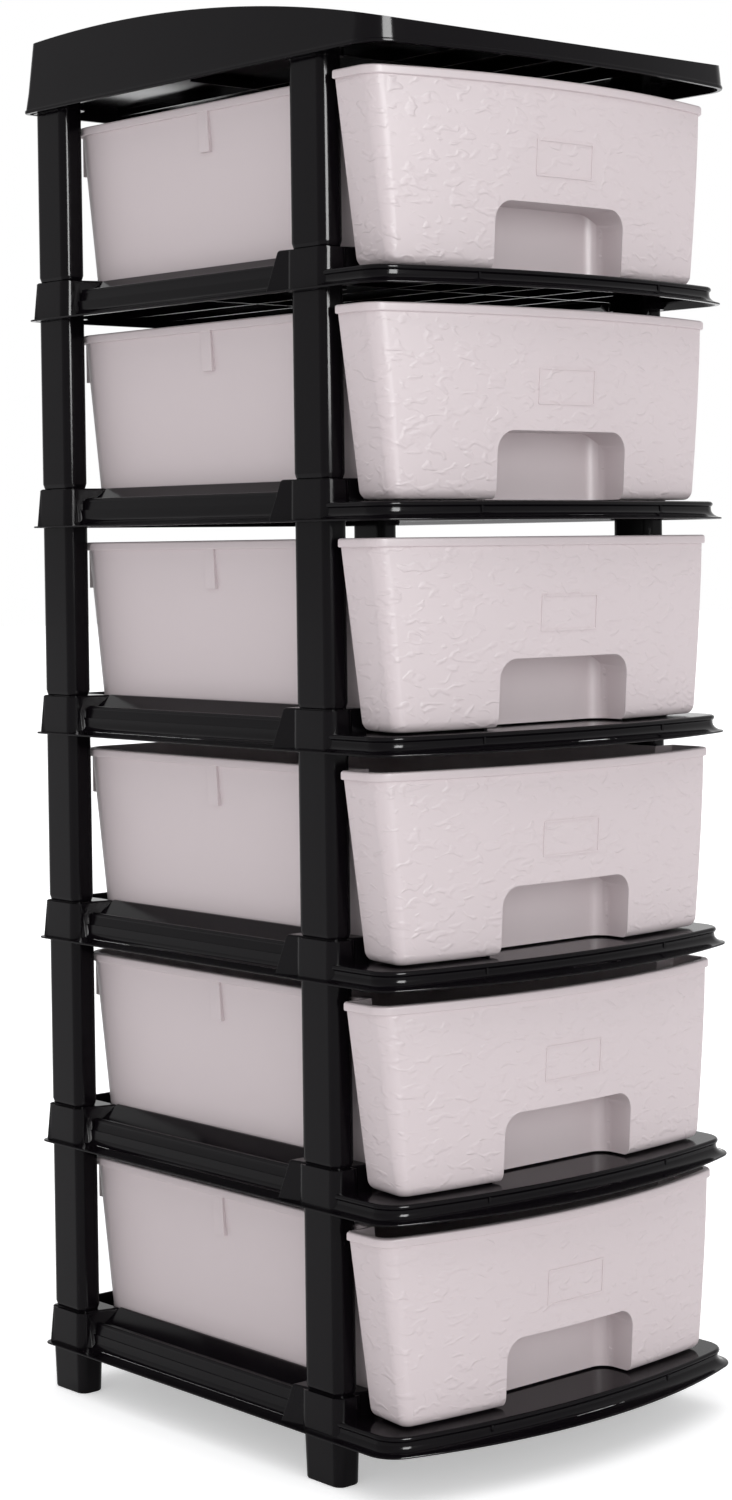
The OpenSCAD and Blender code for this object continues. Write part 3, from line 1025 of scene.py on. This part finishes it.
@dataclass
class Drawer:
    """A drawer moulded in one piece: a box behind, a wide bowed front and a hand recess."""

    height: float = 138.0
    lift: float = 15.0
    skin: float = 2.4
    shoulder: float = -142.7
    front_low: Bowed = Bowed(155.0, -142.7, -195.0, 1000, 8, 0, 3.5)
    front_high: Bowed = Bowed(171.0, -142.7, -204.8, 600, 14, 0, 0)
    box_low: Squared = Squared(138.0, -154.5, 205.0, 24.0)
    box_high: Squared = Squared(151.5, -154.5, 207.0, 24.0)
    rim_h: float = 6.5
    rim_out: float = 2.0
    recess_half: float = 65.5
    recess_h: float = 49.5
    recess_back: float = -163.5
    recess_front: float = -219.5
    recess_r: float = 15.0
    recess_back_r: float = 12.0
    recess_edge: float = 2.0
    label: Point2 = (58.0, 27.0)
    label_z: float = 82.0
    label_line: float = 1.5
    label_out: float = 0.7
    label_r: float = 1.2
    label_span: Point2 = (0.45, 0.75)
    lug_w: float = 12.0
    lug_h: float = 30.0
    lug_out: float = 1.8
    lug_foot_out: float = 3.4
    lug_r: float = 0.6
    side_lug_y: float = 33.5
    rear_lug_x: float = 134.0
    base_round: Point2 = (7.0, 5.0)
    soft: float = 0.4

    LEVELS = (40.0, 75.0, 110.0)
    RIM_FOOT = ((0.0, 0.7), (0.3, 0.25), (0.8, 0.0))
    RIM_TOP = ((1.8, 0.0), (0.9, 0.2), (0.3, 0.75), (0.0, 1.7))
    ON_ARCH = 0.3
    FACES_FRONT = -0.2
    FACES_ASIDE = 0.5
    SIDE_BAND = 4.5
    FRONT_DEPTH = 26.0

    def _body(self, low: Outline, high: Outline, inset: float) -> Piece:
        """The front or the box as a solid with a rounded base, or its inside."""
        rise, draw_in = self.base_round
        levels = [(rise * (1 - cosine), draw_in * (1 - sine)) for sine, cosine in quarter_turn()]
        levels += [(z, 0.0) for z in (*self.LEVELS, self.height)]
        return loft("drawer_solid", [
            ring(low.toward(high, z / self.height).inset(inset + base), z + inset)
            for z, base in levels
        ])

    def _recess(self, grow: float) -> Piece:
        """The hand recess as a cutter, or the block that its walls are left from."""
        half, top, back = self.recess_half + grow, self.recess_h + grow, self.recess_back + grow

        def arched(foot: float, crown: float, r: float, steps: int) -> list[Point2]:
            """A profile with a straight foot and two rounded corners at its crown."""
            return [(-half, foot), (half, foot),
                    *arc((half - r, crown - r), r, 0, 90, steps),
                    *arc((r - half, crown - r), r, 90, 180, steps)]

        seen = arched(-PAST, top, self.recess_r, 10)
        plan = arched(self.recess_front, back, self.recess_back_r + grow, 8)
        opening = drawn_out("recess", seen, Axis.Y, self.recess_front, back)
        work(opening, Joinery.KEEP,
             drawn_out("recess_plan", plan, Axis.Z, -2 * PAST, top + 2 * PAST))
        return opening

    def _rim(self) -> list[Piece]:
        """The band round the top."""
        base, rim = self.height - self.rim_h, self.rim_h
        profile = [*self.RIM_FOOT, *((rim - down, inset) for down, inset in self.RIM_TOP)]
        edges = (outline.inset(-self.rim_out) for outline in (self.front_high, self.box_high))
        return [loft("rim", [ring(edge.inset(inset), base + z) for z, inset in profile])
                for edge in edges]

    def _lugs(self) -> Piece:
        """The small nesting lugs under the rim."""
        z0 = self.height - self.rim_h - self.lug_h
        z1 = self.height - self.rim_h + PAST
        half = self.lug_w / 2
        across = (self.side_lug_y - half, self.side_lug_y + half)
        rings = []
        for z, out in ((z0, self.lug_foot_out), (z1, self.lug_out)):
            wall = self.box_low.toward(self.box_high, z / self.height).half_width
            rings.append(oblong((wall - 3, wall + out), across, z, self.lug_r))
        reach = self.box_high.rear + 5
        rear = block("lug", (self.rear_lug_x - half, reach - 30, z0),
                     (self.rear_lug_x + half, reach, z1))
        rim = self.box_high.inset(-self.lug_out)
        work(rear, Joinery.KEEP, loft("lug_limit", [ring(rim, z0 - 5), ring(rim, z1 + 5)]))
        right = [loft("lug", rings), rear]
        return gathered(right + [mirrored(lug) for lug in right])

    def _label_frame(self) -> Piece:
        """The thin raised frame in the middle of the front."""
        skin = loft("label", [
            ring(self.front_low.toward(self.front_high, t).inset(-self.label_out), self.height * t)
            for t in self.label_span
        ])

        def framed(by: float, r: float) -> list[Point2]:
            """The frame's rectangle on the front, moved in by a distance."""
            w, h = self.label[0] / 2 - by, self.label[1] / 2 - by
            low, high = self.label_z - h, self.label_z + h
            return rounded([(-w, low, r), (w, low, r), (w, high, r), (-w, high, r)])

        front, back = self.recess_front, (self.front_low.apex + self.front_high.apex) / 2 + 1.6
        frame = drawn_out("label_out", framed(0.0, self.label_r), Axis.Y, front, back)
        inner = framed(self.label_line, 0.0)
        work(frame, Joinery.CUT, drawn_out("label_in", inner, Axis.Y, front - 5, back + 5))
        work(skin, Joinery.KEEP, frame)
        return skin

    def _on_arch(self, point: Vector) -> bool:
        """Whether a point lies on the recess's arch, seen from the front."""
        half, top, r = self.recess_half, self.recess_h, self.recess_r
        x, z = abs(point.x) / MM, point.z / MM
        if x > half - r and z > top - r:
            return abs(math.hypot(x - (half - r), z - (top - r)) - r) < self.ON_ARCH
        return abs(x - half if z <= top - r else z - top) < self.ON_ARCH

    def _soften_recess(self, piece: Piece) -> None:
        """Rounds the edge where the front turns into the hand recess."""
        tools = bpy.context.tool_settings
        with editing(piece) as mesh:
            clean()
            bpy.ops.mesh.select_all(action="DESELECT")
            tools.mesh_select_mode = (False, True, False)
            for edge in mesh.edges:
                a, b = (v.co for v in edge.verts)
                front = max(a.y, b.y) < (self.recess_back - 23) * MM
                above = max(a.z, b.z) > 3.0 * MM
                if front and above and self._on_arch(a) and self._on_arch(b):
                    edge.select_set(True)
            bpy.ops.mesh.bevel(offset=self.recess_edge * MM, segments=4, affect="EDGES",
                               clamp_overlap=True)
            tools.mesh_select_mode = (True, False, False)

    def pebbled_faces(self, piece: Piece) -> list[int]:
        """Tells which faces are pebbled: the outside of the wide front, below its rim.

        Args:
            piece: The finished drawer, with its base on the floor.

        Returns:
            For each face, 1 where it is pebbled and 0 where it is smooth.
        """
        marks = []
        for polygon in piece.data.polygons:
            x, y, z = (abs(polygon.center.x) / MM, polygon.center.y / MM, polygon.center.z / MM)
            forward = polygon.normal.y < self.FACES_FRONT
            outside = forward or abs(polygon.normal.x) > self.FACES_ASIDE
            outline = self.front_low.toward(self.front_high, z / self.height)
            on_side = x > outline.half_width - self.SIDE_BAND - outline.splay
            on_front = y < outline.apex + self.FRONT_DEPTH and forward
            placed = y < self.shoulder - 0.5 and z < self.height - self.rim_h - 0.2
            in_recess = x < self.recess_half - 1 and z < self.recess_h
            marks.append(int(placed and outside and (on_side or on_front) and not in_recess))
        return marks

    def build(self) -> Piece:
        """Moulds one drawer with its base on the floor."""
        drawer = self._body(self.front_low, self.front_high, 0.0)
        work(drawer, Joinery.ADD, self._body(self.box_low, self.box_high, 0.0), *self._rim())
        work(drawer, Joinery.ADD, self._lugs(), self._label_frame())
        inside = self._body(self.front_low, self.front_high, self.skin)
        work(inside, Joinery.ADD, self._body(self.box_low, self.box_high, self.skin))
        work(inside, Joinery.CUT, self._recess(self.skin))
        work(drawer, Joinery.CUT, inside)
        work(drawer, Joinery.CUT, self._recess(0.0))
        self._soften_recess(drawer)
        soften(drawer, self.soft)
        return drawer


# ---- the tower ----


@dataclass
class DrawerTower:
    """The whole tower: every piece made once, copied to its places and set on its body."""

    uprights: Uprights = field(default_factory=Uprights)
    made: list[Piece] = field(default_factory=list)

    def _finish(
        self, piece: Piece, node: str, body: str, slot: str, *plastics: bpy.types.Material
    ) -> None:
        """Dresses a piece, sets it on its body and lets it stand for its solid."""
        piece.data.materials.clear()
        for plastic in plastics:
            piece.data.materials.append(plastic)
        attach(piece, body)
        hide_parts(node)
        self.made.append(piece)
        log.info("%s: %d faces, rides on %s", piece.name, len(piece.data.polygons), body)

    def _spread(
        self, pattern: Piece, places: dict[str, Point3], plastic: bpy.types.Material
    ) -> None:
        """Copies a fixed piece to the places of the solids that it stands for."""
        for node, place in places.items():
            piece = copied(pattern, f"{node}_look", place)
            self._finish(piece, node, "root", "frame_plastic", plastic)
        bpy.data.objects.remove(pattern, do_unlink=True)

    def build(self) -> None:
        """Builds and dresses every piece."""
        black = FRAME_PLASTIC.material()
        smooth, pebbled = DRAWER_PLASTIC.material(), PEBBLED_PLASTIC.material()
        base = [FOOT_HEIGHT + PITCH * i for i in range(TIERS + 1)]
        corners = self.uprights.corners()
        self._spread(self.uprights.foot(),
                     {f"foot_{c}": (x, y, 0.0) for c, (x, y) in corners.items()}, black)
        self._spread(self.uprights.post(), {
            f"post_{i + 1}_{c}": (x, y, base[i])
            for i in range(TIERS) for c, (x, y) in corners.items()
        }, black)
        tray = ShelfTray(self.uprights)
        places = {f"shelf_tray_{i + 1}": (0, 0, base[i]) for i in range(TIERS)}
        self._spread(tray.build(), places, black)
        self._spread(TopCover(tray).build(), {"top_cover": (0, 0, base[TIERS])}, black)
        self._drawers(base, smooth, pebbled)

    def _drawers(self, base: Sequence[float], *plastics: bpy.types.Material) -> None:
        """Builds the drawers, each on its own sliding body."""
        maker = Drawer()
        pattern = maker.build()
        marks = maker.pebbled_faces(pattern)
        for i in range(TIERS):
            node = f"drawer_{i + 1}"
            piece = copied(pattern, f"{node}_look", (0, 0, base[i] + maker.lift))
            self._finish(piece, node, node, "drawer_plastic", *plastics)
            piece.data.polygons.foreach_set("material_index", marks)
        bpy.data.objects.remove(pattern, do_unlink=True)


# ---- the studio ----


class LampKind(Enum):
    """The kinds of lamp in the studio."""

    SUN = "SUN"
    PANEL = "AREA"


@dataclass(frozen=True)
class Lamp:
    """A lamp: its kind and strength, where it shines, its angle or size, and its place."""

    kind: LampKind
    strength: float
    aim: Point3
    size: tuple[float, ...]
    place: Point3 = (0.0, 0.0, 3.0)

    def hang(self) -> None:
        """Adds the lamp. A panel shows in gloss alone, and a sun in all but gloss."""
        bpy.ops.object.light_add(type=self.kind.value, location=self.place)
        lamp = bpy.context.object
        lamp.rotation_euler = Vector(self.aim).to_track_quat("-Z", "Y").to_euler()
        lamp.data.energy = self.strength
        if self.kind is LampKind.SUN:
            lamp.data.angle = math.radians(self.size[0])
            lamp.visible_glossy = False
        else:
            lamp.data.shape = "RECTANGLE"
            lamp.data.size, lamp.data.size_y = self.size
            lamp.visible_diffuse = False


@dataclass
class Studio:
    """A pale floor, soft light and the camera."""

    eye: Point3 = (-1495.2, -1695.3, 676.6)
    heading: float = 40.95
    dip: float = 2.015
    roll: float = -0.702
    focal: float = 69.026
    sensor: float = 36.0
    shift_y: float = -0.06757
    view_reach: float = 60.0
    floor_size: float = 40.0
    glow: float = 0.42
    lamps: tuple[Lamp, ...] = (
        Lamp(LampKind.PANEL, 450.0, (0.13, 0.96, -0.22), (1.45, 1.6), (-0.45, -2.75, 1.65)),
        Lamp(LampKind.SUN, 0.52, (0.13, 0.95, -0.28), (40.0,)),
        Lamp(LampKind.SUN, 0.42, (0.80, 0.45, -0.25), (60.0,)),
        Lamp(LampKind.SUN, 1.00, (0.05, 0.10, -1.0), (70.0,)),
    )

    WHITE = (1.0, 1.0, 1.0, 1.0)
    DIM = (0.58, 0.58, 0.59, 1.0)
    PALE = (0.92, 0.92, 0.92, 1.0)

    def camera(self) -> None:
        """Sets the camera up."""
        bpy.ops.object.camera_add()
        camera = bpy.context.object
        turn = Matrix.Rotation(math.radians(-self.heading), 4, "Z")
        tilt = Matrix.Rotation(math.radians(90 - self.dip), 4, "X")
        bank = Matrix.Rotation(math.radians(self.roll), 4, "Z")
        camera.matrix_world = Matrix.Translation(Vector(self.eye) * MM) @ turn @ tilt @ bank
        camera.data.lens = self.focal
        camera.data.sensor_width = self.sensor
        camera.data.sensor_fit = "AUTO"
        camera.data.shift_y = self.shift_y
        camera.data.clip_end = self.view_reach
        bpy.context.scene.camera = camera

    def _seen(self, nodes: Nodes) -> Socket:
        """1 for a ray that shows a surface, directly, in gloss or through glass, 0 otherwise."""
        path = nodes.add("ShaderNodeLightPath").outputs
        direct = nodes.math("MAXIMUM", path["Is Camera Ray"], path["Is Glossy Ray"])
        return nodes.math("MAXIMUM", direct, path["Is Transmission Ray"])

    def lights(self) -> None:
        """Lights the scene softly from the front and above."""
        for lamp in self.lamps:
            lamp.hang()
        world = bpy.context.scene.world or bpy.data.worlds.new("studio")
        bpy.context.scene.world = world
        world.use_nodes = True
        world.node_tree.nodes.clear()
        nodes = Nodes(world.node_tree)
        dim, white = (nodes.add("ShaderNodeBackground", {"Color": colour})
                      for colour in (self.DIM, self.WHITE))
        mix = nodes.add("ShaderNodeMixShader", {
            "Fac": self._seen(nodes), 1: dim.outputs[0], 2: white.outputs[0],
        })
        nodes.add("ShaderNodeOutputWorld", {"Surface": mix.outputs[0]})

    def floor(self) -> None:
        """Lays the pale floor."""
        bpy.ops.mesh.primitive_plane_add(size=self.floor_size, location=(0, 0, 0))
        floor = bpy.context.object
        floor.name = "studio_floor"
        material = bpy.data.materials.new("studio_floor")
        material.use_nodes = True
        nodes = Nodes(material.node_tree)
        nodes.feed(material.node_tree.nodes["Principled BSDF"], {
            "Base Color": self.PALE,
            "Roughness": 0.9,
            "Specular IOR Level": 0.0,
            "Emission Color": self.WHITE,
            "Emission Strength": nodes.math("MULTIPLY", self._seen(nodes), self.glow),
        })
        floor.data.materials.append(material)


def main() -> None:
    """Builds the scene."""
    logging.basicConfig(level=logging.INFO, format="%(message)s")
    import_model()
    studio = Studio()
    studio.camera()
    DrawerTower().build()
    studio.floor()
    studio.lights()
    bpy.context.scene.view_settings.view_transform = "Standard"


if __name__ == "__main__":
    main()
